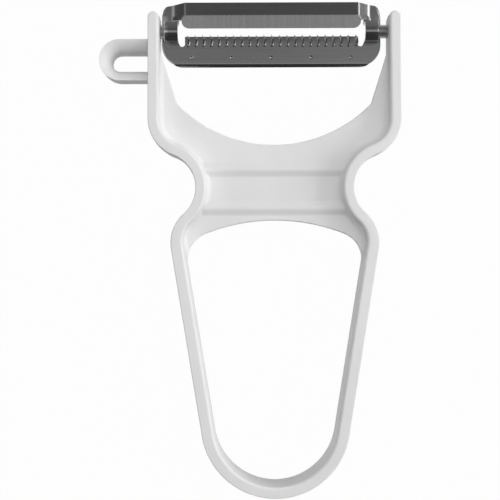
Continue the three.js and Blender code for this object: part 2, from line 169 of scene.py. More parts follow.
def cutAt(obj, place, normal):
    editAll(obj)
    bpy.ops.mesh.bisect(plane_co=at(*place), plane_no=normal, threshold=tolerance['cut'] * mm)
    doneEditing()


def combine(obj, other, operation, solver='MANIFOLD'):
    applyModifier(obj, 'BOOLEAN', operation=operation, object=other, solver=solver)
    bpy.data.objects.remove(other)


def cylinderAcross(radius, length, x, y, z, sides):
    bpy.ops.mesh.primitive_cylinder_add(vertices=sides, radius=radius * mm, depth=length * mm,
                                        location=at(x, y, z), rotation=(0, math.pi / 2, 0))
    bpy.ops.object.transform_apply(location=True, rotation=True)
    return bpy.context.object


# handle, in millimetres and as drawn in the middle of its depth
handleSizes = {
    'depth': 11.0, 'tipDepth': 8.5, 'heelRim': 3.15, 'limbRim': 3.4, 'armRim': 3.1,
    'draft': math.radians(1.5), 'outerRound': 0.25, 'innerRound': 0.75,
    'heelRadius': 19.25, 'hipAbove': 46.35, 'hipRadius': 10.1, 'hipWidth': 53.7,
    'neckRadius': 8.8, 'neckWidth': 40.9, 'shoulderRadius': 10.1,
    'armSpan': 65.2, 'pivotAbove': 23.0, 'tipAbove': 4.75, 'pinHole': 3.6, 'drillReach': 1.2,
    'web': 2.2, 'webHeight': 19.6, 'webEdge': 0.3,
    'crescentRadius': 34.9, 'hornFoot': 50.5, 'hornBelow': 5.3,
    'archAbove': 5.75, 'archRadius': 49.2, 'archFillet': 7.4,
    'cove': 1.4, 'coveSunk': 0.4, 'coveInRim': 0.05, 'coveInWeb': 0.01,
    'ribWidth': 4.4, 'ribHeight': 0.75, 'ribSpacing': 10.0, 'ribAbove': 3.2, 'ribInWeb': 0.02,
    'loopReach': 12.5, 'loopHeight': 10.65, 'loopDepth': 7.0, 'loopBelow': 7.65,
    'loopTop': 3.4, 'loopBottom': 2.6, 'loopEnd': 3.0, 'loopRound': 0.35,
    # width and slope of each ring of the loop's dish, from the hole outwards
    'dish': [(0.9, math.radians(57)), (1.2, math.radians(41)), (1.3, math.radians(17))],
    'smoothBelow': math.radians(35),
    # steps in which the round stretches are drawn
    'steps': {'heel': 48, 'hip': 24, 'neck': 32, 'shoulder': 24, 'tip': 32, 'rimEdge': 8,
              'arch': 40, 'archFillet': 24, 'crescent': 48, 'webEdge': 3, 'cove': 10, 'rib': 24,
              'loopEnd': 40, 'loopHole': 32, 'loopRound': 4, 'pinHole': 64},
}
h = handleSizes
steps = h['steps']
halfDepth = h['depth'] / 2
armOuter = h['armSpan'] / 2
armInner = armOuter - h['armRim']
heelOuter = -h['heelRim'] / 2
heelCentre = Vector((0, heelOuter + h['heelRadius']))
hipCentre = Vector((h['hipWidth'] / 2 - h['hipRadius'], heelCentre.y + h['hipAbove']))


# centre of the next arc above, which touches the one below
def nextCentre(below, reach, x):
    return Vector((x, below.y + math.sqrt(reach ** 2 - (x - below.x) ** 2)))


neckX = h['neckWidth'] / 2 + h['neckRadius']
neckCentre = nextCentre(hipCentre, h['hipRadius'] + h['neckRadius'], neckX)
shoulderX = armOuter - h['shoulderRadius']
shoulderCentre = nextCentre(neckCentre, h['neckRadius'] + h['shoulderRadius'], shoulderX)
pivotY = shoulderCentre.y + h['pivotAbove']
tipCentre = Vector((armOuter - h['armRim'] / 2, pivotY + h['tipAbove'] - h['armRim'] / 2))
climb = hipCentre - heelCentre
limbAngle = math.atan2(climb.y, climb.x) - math.acos((h['heelRadius'] - h['hipRadius']) / climb.length)
hipEnd = math.atan2(*(neckCentre - hipCentre).yx)
shoulderStart = math.atan2(*(neckCentre - shoulderCentre).yx)
limb = Vector((math.cos(limbAngle), math.sin(limbAngle)))
limbUp = limb.orthogonal()
limbLength = climb.dot(limbUp)
archY = hipCentre.y + h['archAbove']


# hip, neck and shoulder, for whatever is selected at the end of the limb
def drawFlank():
    arcAbout(hipCentre, hipEnd - limbAngle, steps['hip'])
    arcAbout(neckCentre, shoulderStart - hipEnd, steps['neck'])
    arcAbout(shoulderCentre, -shoulderStart, steps['shoulder'])


# the whole right side, for a section that is selected at the heel
def sweepRim():
    arcAbout(heelCentre, math.pi / 2 + limbAngle, steps['heel'])
    lineBy(*(limbUp * limbLength))
    drawFlank()
    lineBy(0, tipCentre.y - shoulderCentre.y)


# the rim is swept at the arm's width; the heel and limbs have their own, taken up on the inner side
def fitWidths(obj):
    for vertex in obj.data.vertices:
        spot = vertex.co.xy / mm
        fromHeel = spot - heelCentre
        fromHip = spot - hipCentre
        run = fromHeel.dot(limbUp)
        angle = math.atan2(fromHip.y, fromHip.x)
        if run < 0:
            inset = h['heelRadius'] - fromHeel.length
            share = (math.atan2(fromHeel.y, fromHeel.x) + math.pi / 2) / (limbAngle + math.pi / 2)
            width, inward = blend(h['heelRim'], h['limbRim'], share), -fromHeel.normalized()
        elif run < limbLength:
            inset = h['heelRadius'] - fromHeel.dot(limb)
            width, inward = h['limbRim'], -limb
        elif angle < hipEnd and fromHip.length < h['hipRadius'] + tolerance['face']:
            inset = h['hipRadius'] - fromHip.length
            share = (angle - limbAngle) / (hipEnd - limbAngle)
            width, inward = blend(h['limbRim'], h['armRim'], share), -fromHip.normalized()
        else:
            continue
        if inset > h['armRim'] / 2:
            vertex.co.xy += inward * (width - h['armRim']) * mm


# the arms get shallower from the shoulder to the tip
def taperArms(obj):
    middle = halfDepth * mm
    for vertex in obj.data.vertices:
        share = (vertex.co.y / mm - shoulderCentre.y) / (tipCentre.y - shoulderCentre.y)
        vertex.co.z = middle + (vertex.co.z - middle) * blend(1, h['tipDepth'] / h['depth'], share)


# the rim's section at the heel: drafted from the middle, with its corners rounded
def makeSection():
    middleY = heelOuter + h['armRim'] / 2
    centre = at(0, middleY, halfDepth)
    bpy.ops.mesh.primitive_plane_add(size=mm, location=centre, rotation=(0, math.pi / 2, 0))
    rim = bpy.context.object
    rim.scale = (h['depth'], h['armRim'], 1)
    bpy.ops.object.transform_apply(location=True, rotation=True, scale=True)
    cutAt(rim, (0, 0, halfDepth), (0, 0, 1))
    faceInset = halfDepth * math.tan(h['draft'])
    selectWhere(rim, lambda p: abs(p.z - halfDepth) > tolerance['face'])
    bpy.ops.transform.resize(value=(1, 1 - 2 * faceInset / h['armRim'], 1), center_override=centre)
    atFace = halfDepth - tolerance['line']
    for inner, radius in ((False, h['outerRound']), (True, h['innerRound'])):
        selectWhere(rim, lambda p: abs(p.z - halfDepth) > atFace and (p.y > middleY) == inner)
        bpy.ops.mesh.bevel(offset=radius * mm, segments=steps['rimEdge'], affect='VERTICES')
    bpy.ops.mesh.select_all(action='SELECT')
    bpy.ops.mesh.dissolve_faces()
    doneEditing()
    # points in the middle of the front and back, on which the tips turn
    cutAt(rim, (0, middleY, 0), (0, 1, 0))
    editAll(rim)
    bpy.ops.mesh.dissolve_faces()
    bpy.ops.mesh.select_all(action='SELECT')
    bpy.ops.mesh.delete(type='ONLY_FACE')
    doneEditing()
    return rim


# round the tip the crisp outer edge turns into the soft inner one
def turnTip(vertices, outerSide, innerSide):
    for vertex in vertices:
        reach = vertex.co.xy / mm - tipCentre
        turn = abs(math.atan2(reach.y, reach.x))
        spot = Vector((reach.length, vertex.co.z / mm - halfDepth))
        pair = min(zip(outerSide, innerSide), key=lambda pair: (pair[0] - spot).length)
        spot = pair[0].lerp(pair[1], turn / math.pi)
        place = tipCentre + spot.x * Vector((math.cos(turn), math.sin(turn)))
        vertex.co = at(*place, halfDepth + spot.y)


def makeRim():
    rim = makeSection()
    middleY = heelOuter + h['armRim'] / 2
    section = [Vector((p.co.y / mm - middleY, p.co.z / mm - halfDepth)) for p in rim.data.vertices]
    section.sort(key=lambda p: math.atan2(p.y, abs(p.x)))
    outerSide = [Vector((-p.x, p.y)) for p in section if p.x < tolerance['cut']]
    innerSide = [p for p in section if p.x > -tolerance['cut']]
    editAll(rim)
    sweepRim()
    doneEditing()
    swept = len(rim.data.vertices)
    selectWhere(rim, lambda p: min(p.y - tipCentre.y, p.x - tipCentre.x) > -tolerance['line'])
    arcAbout(tipCentre, math.pi, steps['tip'])
    doneEditing()
    turnTip(rim.data.vertices[swept:], outerSide, innerSide)
    fitWidths(rim)
    taperArms(rim)
    mirrorHalf(rim)
    closeNormals(rim)
    return rim


# plan of the web, which runs into the rim at both sides, drawn out to a plate
def makePlate(low, high):
    crescentY = archY + h['webHeight']
    archCentre = Vector((0, archY - h['archRadius']))
    filletAcross = limb.dot(heelCentre) + h['heelRadius'] - h['limbRim'] - h['archFillet']
    side = filletAcross - limb.dot(archCentre)
    filletAlong = limbUp.dot(archCentre) + math.sqrt((h['archRadius'] - h['archFillet']) ** 2 - side ** 2)
    filletCentre = limb * filletAcross + limbUp * filletAlong
    archEnd = math.atan2(*(filletCentre - archCentre).yx)
    crescentCentre = Vector((0, crescentY + h['crescentRadius']))
    cornerAngle = -math.acos(h['hornFoot'] / 2 / h['crescentRadius'])
    corner = crescentCentre + h['crescentRadius'] * Vector((math.cos(cornerAngle), math.sin(cornerAngle)))
    hornY = pivotY - h['hornBelow']
    sunk = h['armRim'] / 2

    plate = beginOutline('plate', 0, archY, low)
    arcAbout(archCentre, archEnd - math.pi / 2, steps['arch'])
    arcAbout(filletCentre, limbAngle - archEnd, steps['archFillet'])
    start = hipCentre + limb * (h['hipRadius'] - sunk)
    here = filletCentre + limb * (limb.dot(start) - filletAcross)
    lineBy(*(limb * (limb.dot(start) - filletAcross - h['archFillet'])))
    lineBy(*(start - here))
    drawFlank()
    lineBy(0, hornY - shoulderCentre.y)
    lineBy(armInner - armOuter + sunk, 0)
    lineBy(corner.x - armInner, corner.y - hornY)
    arcAbout(crescentCentre, -math.pi / 2 - cornerAngle, steps['crescent'])
    fillMirrored(plate)
    editAll(plate)
    lineBy(0, 0, high - low)
    doneEditing()
    closeNormals(plate)
    return plate


# hollow fillet where the web's two faces meet the rim, sunk a little into both
def makeCoves():
    radius, sunk = h['cove'], h['coveSunk']
    wallY = heelOuter + h['armRim'] - h['coveInRim']
    webTop = h['web'] / 2 - h['coveInWeb']
    coves = beginOutline('coves', 0, wallY - sunk, sunk)
    lineBy(0, sunk + radius)
    lineBy(0, 0, webTop - sunk)
    arcAbout((0, wallY + radius, webTop + radius), -math.pi / 2, steps['cove'], axis=(1, 0, 0))
    lineBy(0, -sunk)
    fillAll()
    bpy.ops.mesh.delete(type='ONLY_FACE')
    bpy.ops.mesh.select_all(action='SELECT')
    sweepRim()
    bpy.ops.mesh.edge_face_add()
    doneEditing()
    fitWidths(coves)
    mirrorHalf(coves, alsoBack=True)
    closeNormals(coves)
    coves.location = at(0, 0, halfDepth)
    bpy.ops.object.transform_apply(location=True)
    combine(coves, makePlate(0, h['depth']), 'INTERSECT')
    return coves


# one soft swelling right through the web, so that it shows on both faces
def makeRib(y):
    flat = h['web'] / 2 - h['ribInWeb']
    waves = [math.sin(math.pi * i / steps['rib']) ** 2 for i in range(steps['rib'] + 1)]
    heights = [flat + h['ribHeight'] * wave for wave in waves]
    stride = h['ribWidth'] / steps['rib']
    rib = beginOutline('rib', -h['neckWidth'] / 2, y - h['ribWidth'] / 2, halfDepth - flat)
    lineBy(0, 0, 2 * flat)
    for below, above in zip(heights, heights[1:]):
        lineBy(0, stride, above - below)
    lineBy(0, 0, -2 * flat)
    for below, above in zip(heights, heights[1:-1]):
        lineBy(0, -stride, below - above)
    fillAll()
    lineBy(h['neckWidth'], 0)
    doneEditing()
    closeNormals(rib)
    return rib


# the loop's front is dished like a spoon, more steeply towards the hole, by a funnel that opens upwards
def makeFunnel(hole, holeRadius):
    radius = holeRadius / 2
    sunk = sum(width * math.tan(slope) for width, slope in h['dish'])
    steepest = h['dish'][0][1]
    low = halfDepth + h['loopDepth'] / 2 - sunk - radius * math.tan(steepest)
    centre = (hole.x, hole.y, low)
    funnel = beginOutline('funnel', -armOuter, hole.y + radius, low)
    lineBy(hole.x + armOuter, 0)
    arcAbout(centre, math.pi, steps['loopEnd'])
    lineBy(-armOuter - hole.x, 0)
    fillAll()
    reach = holeRadius
    for width, slope in h['dish']:
        reach += width
        lineBy(0, 0, (reach - radius) * math.tan(slope))
        bpy.ops.transform.resize(value=(reach / radius, reach / radius, 1), center_override=at(*centre))
        radius = reach
    lineBy(0, 0, h['loopDepth'])
    doneEditing()
    closeNormals(funnel)
    return funnel


def makeEyeLoop():
    root = -armOuter + h['armRim'] / 2
    top = pivotY - h['loopBelow'] + h['loopHeight'] / 2
    bottom = top - h['loopHeight']
    end = -armOuter - h['loopReach']
    radius = h['loopHeight'] / 2
    holeRadius = (h['loopHeight'] - h['loopTop'] - h['loopBottom']) / 2
    outer = Vector((end + radius, bottom + radius))
    hole = Vector((end + h['loopEnd'] + holeRadius, bottom + h['loopBottom'] + holeRadius))
    loop = beginOutline('eyeLoop', root, top, halfDepth - h['loopDepth'] / 2)
    lineBy(outer.x - root, 0)
    arcAbout(outer, math.pi, steps['loopEnd'])
    lineBy(root - outer.x, 0)
    lineBy(0, h['loopBottom'])
    lineBy(hole.x - root, 0)
    arcAbout(hole, -math.pi, steps['loopHole'])
    lineBy(root - hole.x, 0)
    fillAll()
    lineBy(0, 0, h['loopDepth'])
    doneEditing()
    closeNormals(loop)
    roundCorners(loop, h['loopRound'], steps['loopRound'])
    combine(loop, makeFunnel(hole, holeRadius), 'DIFFERENCE')
    return loop


def makeHandle():
    handle = makeRim()
    handle.name = 'mouldedHandle'
    web = makePlate(halfDepth - h['web'] / 2, halfDepth + h['web'] / 2)
    roundCorners(web, h['webEdge'], steps['webEdge'])
    lowerRib = archY + h['ribAbove']
    for part in (web, makeRib(lowerRib), makeRib(lowerRib + h['ribSpacing']), makeCoves(), makeEyeLoop()):
        combine(handle, part, 'UNION')
    drillLength = h['armSpan'] * h['drillReach']
    drill = cylinderAcross(h['pinHole'] / 2, drillLength, 0, pivotY, halfDepth, steps['pinHole'])
    combine(handle, drill, 'DIFFERENCE')
    dropSlivers(handle)
    bpy.ops.object.shade_smooth_by_angle(angle=h['smoothBelow'])
    applyModifier(handle, 'WEIGHTED_NORMAL', keep_sharp=True)
    return handle


handle = makeHandle()
print("stage: handle", len(handle.data.polygons), "faces")

# blade, in millimetres from the line of the pins
bladeSizes = {
    'sheet': 0.6, 'playLeft': 0.2, 'playRight': 1.5, 'strip': 4.55,
    'notch': 1.48, 'upperNotch': 0.66, 'notchReach': 3.4,
    'sheetZ': -2.355, 'wrapRadius': 2.17, 'flank': math.radians(36), 'footBend': 0.45,
    'setback': 0.75, 'step': 0.15, 'slitClear': 0.2,
    'cuttingEdge': 1.2, 'groundLine': 4.6, 'top': 7.92, 'rise': 1.3, 'tilt': math.radians(5), 'edge': 0.12,
    'corner': 1.9, 'shoulder': 22.55, 'topCorner': 7.15, 'topInset': 1.45, 'sideTop': 3.75,
    'ramp': 3.8, 'rampInset': 1.04, 'rampShift': 1.2,
    # shares of the ramp: its easing at the foot and the crease, and where the ends' rounding starts
    'rampFoot': 0.38, 'rampCrease': 0.25, 'leftCrease': 0.06, 'roundFrom': 0.8,
    # the ends' rounded edges lie between faces turned this much to the front and to the side
    'endRound': 0.32, 'turnedFront': 0.7, 'turnedOut': 0.3,
    'toothedEdge': 0.75, 'edgeBreak': 0.3, 'edgeDrop': 0.15,
    'bottom': 8.8, 'bottomRound': 5.8, 'lipBend': 0.9, 'lipTurn': math.radians(40), 'lip': 0.4,
    'teeth': 23, 'toothPitch': 2.0, 'toothLength': 2.7, 'toothHeight': 1.85, 'toothWidth': 0.24,
    'toothCrest': 0.08, 'crestEase': 0.7, 'toothBow': 0.3, 'toothOverhang': 0.12,
    'toothFillet': 0.5, 'toothFilletRise': 0.28, 'filletEase': 1.5,
    # shares of the tooth's height at which it is cut, closest in its fillet
    'toothCuts': (0.03, 0.06, 0.09, 0.12, 0.16, 0.2, 0.25, 0.35, 0.5, 0.75),
    'dimples': 5, 'dimplePitch': 10.4, 'dimpleY': -6.3, 'dimpleRadius': 0.55, 'dimpleDepth': 0.25,
    'smoothBelow': math.radians(32),
    'steps': {'corner': 16, 'notch': 16, 'topCorner': 12, 'bottomCorner': 32, 'ramp': 16, 'settle': 8,
              'foot': 8, 'crest': 24, 'lip': 8, 'endRound': 4, 'tooth': 10, 'ball': 32, 'ballRings': 24},
}
b = bladeSizes
bladeSteps = b['steps']
bladeHalf = armInner - (b['playLeft'] + b['playRight']) / 2
bladeShift = (b['playLeft'] - b['playRight']) / 2
stripInner = bladeHalf - b['strip']
barHalf = stripInner - b['notch']
cuttingHalf = stripInner - b['upperNotch']
rampTop = cuttingHalf - b['rampInset']
rampPlaces = [rampTop + b['ramp'] * i / bladeSteps['ramp'] for i in range(-1, bladeSteps['ramp'] + 2)]
foot = b['wrapRadius'] + b['footBend']
sheetZ = b['sheetZ']
sleeveInner = stripInner + b['step']
sleeveOuter = bladeHalf - b['setback']


# 0 on the end strips, 1 on the raised bar; straight in its middle, eased at both ends, and
# further out where the ground edge has its free end
def rampShare(x, y):
    top = blend(rampTop, cuttingHalf, (b['groundLine'] - y) / b['rampShift'])
    along = min(max((rampTop + b['ramp'] - abs(x)) / (rampTop + b['ramp'] - top), 0.0), 1.0)
    low, high = b['rampFoot'], b['rampCrease'] if x > 0 else b['leftCrease']
    slope = 1 / (1 - (low + high) / 2)
    if along < low:
        return slope * along ** 2 / (2 * low)
    if along > 1 - high:
        return 1 - slope * (1 - along) ** 2 / (2 * high)
    return slope * (along - low / 2)


# beside the notch the ramp comes down again to the sleeve's foot
def barHeight(x, y):
    settled = 1.0
    if abs(x) > stripInner - tolerance['line']:
        settled = math.sin(math.pi / 2 * min(max((y - foot) / (b['notchReach'] - foot), 0.0), 1.0))
    return sheetZ + rampShare(x, y) * settled * (b['rise'] + (b['groundLine'] - y) * math.tan(b['tilt']))


# along the end strip, with points where the sleeve's two ends join it
def drawStripEnd():
    lineBy(sleeveInner - stripInner, 0)
    lineBy(sleeveOuter - sleeveInner, 0)
    lineBy(b['setback'], 0)


def makeCuttingBar():
    bar = beginOutline('cuttingBar', 0, b['cuttingEdge'], sheetZ)
    notchRound = b['upperNotch'] / 2
    notchY = b['notchReach'] - notchRound
    cornerX = cuttingHalf - b['corner']
    lineBy(cornerX, 0)
    arcAbout((cornerX, b['cuttingEdge'] + b['corner']), math.pi / 2, bladeSteps['corner'])
    lineBy(0, notchY - b['cuttingEdge'] - b['corner'])
    arcAbout((cuttingHalf + notchRound, notchY), -math.pi, bladeSteps['notch'])
    lineBy(0, foot - notchY)
    drawStripEnd()
    lineBy(0, b['sideTop'] - foot)
    ovalX = bladeHalf - b['topInset']
    arcAbout((ovalX, b['sideTop']), math.pi / 2, bladeSteps['topCorner'])
    # the corner is drawn up into an oval
    selectWhere(bar, lambda p: min(p.y - b['sideTop'], p.x - ovalX) > -tolerance['cut'])
    stretch = (b['topCorner'] - b['sideTop']) / b['topInset']
    bpy.ops.transform.resize(value=(1, stretch, 1), center_override=at(0, b['sideTop'], 0))
    selectWhere(bar, lambda p: p.y > b['topCorner'] - tolerance['cut'])
    lineBy(b['shoulder'] - ovalX, b['top'] - b['topCorner'])
    lineBy(-b['shoulder'], 0)
    fillMirrored(bar)
    # cuts on which the sheet bends, and the line where the grinding starts
    cutAt(bar, (0, b['groundLine']), (0, 1, 0))
    count = bladeSteps['settle']
    for i in range(1, count + 1):
        cutAt(bar, (0, blend(foot, b['notchReach'], i / count)), (0, 1, 0))
        cutAt(bar, (0, blend(b['notchReach'], b['groundLine'], i / (count + 1))), (0, 1, 0))
    for x in rampPlaces:
        cutAt(bar, (x, 0), (1, 0, 0))
        cutAt(bar, (-x, 0), (1, 0, 0))
    for vertex in bar.data.vertices:
        vertex.co.z = barHeight(vertex.co.x / mm, vertex.co.y / mm) * mm
    return bar


def makeToothedBar():
    turn = b['lipTurn']
    thick = b['sheet'] / 2
    lipStart = (b['lipBend'] + thick) * math.sin(turn) + b['lip'] * math.cos(turn) - b['bottom']
    bendEnd = lipStart - b['lipBend'] * math.sin(turn)
    bottom = bendEnd - b['lip'] * math.cos(turn)
    cornerRound = b['bottomRound'] - thick * math.sin(turn)
    notchRound = b['notch'] / 2
    notchY = notchRound - b['notchReach']
    bar = beginOutline('toothedBar', 0, -b['toothedEdge'], sheetZ)
    lineBy(barHalf, 0)
    lineBy(0, notchY + b['toothedEdge'])
    arcAbout((barHalf + notchRound, notchY), math.pi, bladeSteps['notch'])
    lineBy(0, -foot - notchY)
    drawStripEnd()
    lineBy(0, bottom + cornerRound + foot)
    arcAbout((bladeHalf - cornerRound, bottom + cornerRound), -math.pi / 2, bladeSteps['bottomCorner'])
    lineBy(cornerRound - bladeHalf, 0)
    fillMirrored(bar)
    cutAt(bar, (0, -b['toothedEdge'] - b['edgeBreak']), (0, 1, 0))
    for i in range(bladeSteps['lip'] + 1):
        bent = b['lipBend'] * math.sin(turn * i / bladeSteps['lip'])
        cutAt(bar, (0, lipStart - bent), (0, 1, 0))
    # the lip is rolled back round its bend
    for vertex in bar.data.vertices:
        run = lipStart - vertex.co.y / mm
        if run > 0:
            bent = min(run, lipStart - bendEnd)
            drop = b['lipBend'] - math.sqrt(b['lipBend'] ** 2 - bent ** 2)
            vertex.co.z -= (drop + (run - bent) * math.tan(turn)) * mm
    return bar


# the sleeve comes up out of the strip, over the pin with flattened flanks, and down again
def makeSleeve(side):
    x, radius, flank = side * sleeveInner, b['wrapRadius'], b['flank']
    facet = radius * (1 - math.sin(flank)) / math.cos(flank)
    cornerZ = radius * math.cos(flank) - facet * math.sin(flank)
    leg = cornerZ - sheetZ - b['footBend']
    footZ = sheetZ + b['footBend']
    sleeve = beginOutline('sleeve', x, foot, sheetZ)
    arcAbout((x, foot, footZ), -math.pi / 2, bladeSteps['foot'], axis=(1, 0, 0))
    lineBy(0, 0, leg)
    lineBy(0, -facet * math.cos(flank), facet * math.sin(flank))
    arcAbout((x, 0, 0), 2 * flank, bladeSteps['crest'], axis=(1, 0, 0))
    lineBy(0, -facet * math.cos(flank), -facet * math.sin(flank))
    lineBy(0, 0, -leg)
    arcAbout((x, -foot, footZ), -math.pi / 2, bladeSteps['foot'], axis=(1, 0, 0))
    bpy.ops.mesh.select_all(action='SELECT')
    lineBy(side * (sleeveOuter - sleeveInner), 0)
    doneEditing()
    for place in rampPlaces:
        if sleeveInner < place < sleeveOuter:
            cutAt(sleeve, (side * place, 0), (1, 0, 0))
    return sleeve


# flat margin of the sheet beyond the sleeve, behind the pin
def makeMargin(side):
    margin = beginOutline('margin', side * sleeveOuter, foot, sheetZ)
    lineBy(side * b['setback'], 0)
    bpy.ops.mesh.select_all(action='SELECT')
    lineBy(0, -2 * foot)
    doneEditing()
    return margin


def makeSheet():
    sheet = makeCuttingBar()
    others = [makeToothedBar()]
    for makeEnd in (makeSleeve, makeMargin):
        others += [makeEnd(1), makeEnd(-1)]
    joinAll(sheet, others)
    closeNormals(sheet)
    applyModifier(sheet, 'SOLIDIFY', thickness=b['sheet'] * mm, offset=0, use_even_offset=True)
    return sheet


# the bar is ground from its front face only, down to the edge; the toothed edge is just broken
def grindEdges(blade):
    slack = tolerance['face']
    for vertex in blade.data.vertices:
        x, y, z = vertex.co / mm
        onBar = b['cuttingEdge'] - slack < y < b['groundLine'] and abs(x) < stripInner
        if onBar and z > barHeight(x, y) + slack:
            share = (b['groundLine'] - y) / (b['groundLine'] - b['cuttingEdge'])
            vertex.co.z -= (b['sheet'] - b['edge']) * share * rampShare(x, y) * mm
        onEdge = abs(y + b['toothedEdge']) < tolerance['line'] and abs(x) < barHalf + tolerance['line']
        if onEdge and z > sheetZ:
            vertex.co.z -= b['edgeDrop'] * mm
    closeNormals(blade)


# the press leaves the front of the two ends rounded, apart from where the slit by the sleeve ends
def roundEnds(blade):
    sides = {}
    for face in blade.data.polygons:
        for key in face.edge_keys:
            sides.setdefault(key, []).append(face.normal.copy())
    editAll(blade)
    bpy.ops.mesh.select_mode(type='EDGE')
    bpy.ops.mesh.select_all(action='DESELECT')
    doneEditing()
    for edge in blade.data.edges:
        first, last = [blade.data.vertices[i].co / mm for i in edge.vertices]
        spot = (first + last) / 2
        outward = math.copysign(1, spot.x)
        clear = abs(spot.x) > rampTop + b['roundFrom'] * b['ramp'] and abs(spot.y + foot) > b['slitClear']
        front = max(normal.z for normal in sides[edge.key]) > b['turnedFront']
        out = max(normal.x * outward for normal in sides[edge.key]) > b['turnedOut']
        edge.select = clear and front and out
    bpy.ops.object.mode_set(mode='EDIT')
    bpy.ops.mesh.bevel(offset=b['endRound'] * mm, segments=bladeSteps['endRound'], affect='EDGES')
    bpy.ops.mesh.select_mode(type='VERT')
    doneEditing()


def rowPlaces(count, pitch):
    return [(i - (count - 1) / 2) * pitch for i in range(count)]


# balls that sink round hollows into the front face
def punchDimples(blade):
    radius, depth = b['dimpleRadius'], b['dimpleDepth']
    ballRadius = (radius ** 2 + depth ** 2) / (2 * depth)
    ballZ = sheetZ + b['sheet'] / 2 + ballRadius - depth
    balls = []
    for x in rowPlaces(b['dimples'], b['dimplePitch']):
        bpy.ops.mesh.primitive_uv_sphere_add(segments=bladeSteps['ball'], ring_count=bladeSteps['ballRings'],
                                             radius=ballRadius * mm, location=at(x, b['dimpleY'], ballZ))
        bpy.ops.object.transform_apply(location=True)
        balls.append(bpy.context.object)
    joinAll(balls[0], balls[1:])
    combine(blade, balls[0], 'DIFFERENCE', solver='EXACT')


# a fin bent up from the sheet on its right, bowed, thin at its crest and running out behind the edge
def makeTooth():
    bpy.ops.mesh.primitive_cube_add(size=mm, location=at(0, -0.5, 0.5))
    tooth = bpy.context.object
    bpy.ops.object.transform_apply(location=True)
    for i in range(1, bladeSteps['tooth']):
        cutAt(tooth, (0, -i / bladeSteps['tooth']), (0, 1, 0))
    for up in b['toothCuts']:
        cutAt(tooth, (0, 0, up), (0, 0, 1))
    root = b['sheet'] / 4
    # the cube's length and height are shares of the tooth's
    for vertex in tooth.data.vertices:
        x, share, up = vertex.co.x / mm * 2, -vertex.co.y / mm, vertex.co.z / mm
        width = b['toothWidth'] / 2 * (1 - share / 2)
        half = width + (b['toothCrest'] / 2 - width) * up ** b['crestEase']
        fall = math.sqrt(max(1 - share * share, 0.0))
        rise = (root + b['toothHeight'] * fall) * up
        above = max(rise - root, 0.0) / b['toothFilletRise']
        bend = b['toothFillet'] * max(1 - above, 0.0) ** b['filletEase'] if x > 0 else 0.0
        bow = b['toothBow'] * math.sin(math.pi * share)
        vertex.co = at(bow + x * half + bend,
                       -b['toothedEdge'] - b['toothLength'] * share + b['toothOverhang'] * (1 - share) * up,
                       sheetZ + root + rise)
    closeNormals(tooth)
    return tooth


def addTeeth(blade):
    tooth = makeTooth()
    teeth = []
    for x in rowPlaces(b['teeth'], b['toothPitch']):
        copy = tooth.copy()
        copy.data = tooth.data.copy()
        bpy.context.collection.objects.link(copy)
        copy.location = at(x, 0)
        teeth.append(copy)
    bpy.data.objects.remove(tooth)
    joinAll(blade, teeth)


def makeBlade():
    blade = makeSheet()
    blade.name = 'stampedBlade'
    grindEdges(blade)
    roundEnds(blade)
    punchDimples(blade)
    addTeeth(blade)
    blade.location = at(bladeShift, pivotY, halfDepth)
    bpy.ops.object.transform_apply(location=True)
    bpy.ops.object.shade_smooth_by_angle(angle=b['smoothBelow'])
    groundY = (pivotY + b['groundLine']) * mm
    for edge in blade.data.edges:
        ends = [blade.data.vertices[i].co for i in edge.vertices]
        if all(abs(end.y - groundY) < tolerance['line'] * mm for end in ends):
            edge.use_edge_sharp = True
    applyModifier(blade, 'WEIGHTED_NORMAL', keep_sharp=True)
    return blade


blade = makeBlade()
print("stage: blade", len(blade.data.polygons), "faces")

# pins, in millimetres: the recess is in the arm's outer side, the inner end is inside the sleeve
pinSizes = {'diameter': 3.5, 'recess': 0.2, 'chamfer': 0.35, 'inner': 25.4,
            'sides': 64, 'chamferSteps': 4, 'smoothBelow': math.radians(40)}


def makePin(name, side):
    outer, inner = armOuter - pinSizes['recess'], pinSizes['inner']
    middle = side * (outer + inner) / 2
    radius = pinSizes['diameter'] / 2
    pin = cylinderAcross(radius, outer - inner, middle, pivotY, halfDepth, pinSizes['sides'])
    pin.name = name
    roundCorners(pin, pinSizes['chamfer'], pinSizes['chamferSteps'])
    bpy.ops.object.shade_smooth_by_angle(angle=pinSizes['smoothBelow'])
    return pin


leftPin = makePin('leftPin', -1)
rightPin = makePin('rightPin', 1)
print("stage: pins")


# a hex colour of the picker in linear light
def linearColour(hexText):
    channels = [int(hexText[i:i + 2], 16) / 255 for i in (1, 3, 5)]
    return tuple(c / 12.92 if c <= 0.04045 else ((c + 0.055) / 1.055) ** 2.4 for c in channels) + (1.0,)


def newMaterial(name):
    material = bpy.data.materials.new(name)
    material.use_nodes = True
    material.node_tree.nodes.clear()
    return material, material.node_tree


# stops keep themselves in order, so each is placed before any is coloured
def addRamp(tree, stops, socket):
    ramp = addNode(tree, 'ShaderNodeValToRGB', {}, {'Fac': socket})
    elements = ramp.color_ramp.elements
    while len(elements) < len(stops):
        elements.new(1.0)
    for element, (place, colour) in zip(elements, stops):
        element.position = place
    for element, (place, colour) in zip(elements, stops):
        element.color = colour
    return ramp.outputs['Color']


def addNoise(tree, scale, detail, vector):
    noise = addNode(tree, 'ShaderNodeTexNoise', {'Scale': scale, 'Detail': detail}, {'Vector': vector})
    return noise.outputs['Fac']


tintSpan = (0.3, 0.7)  # where most of a noise's values lie


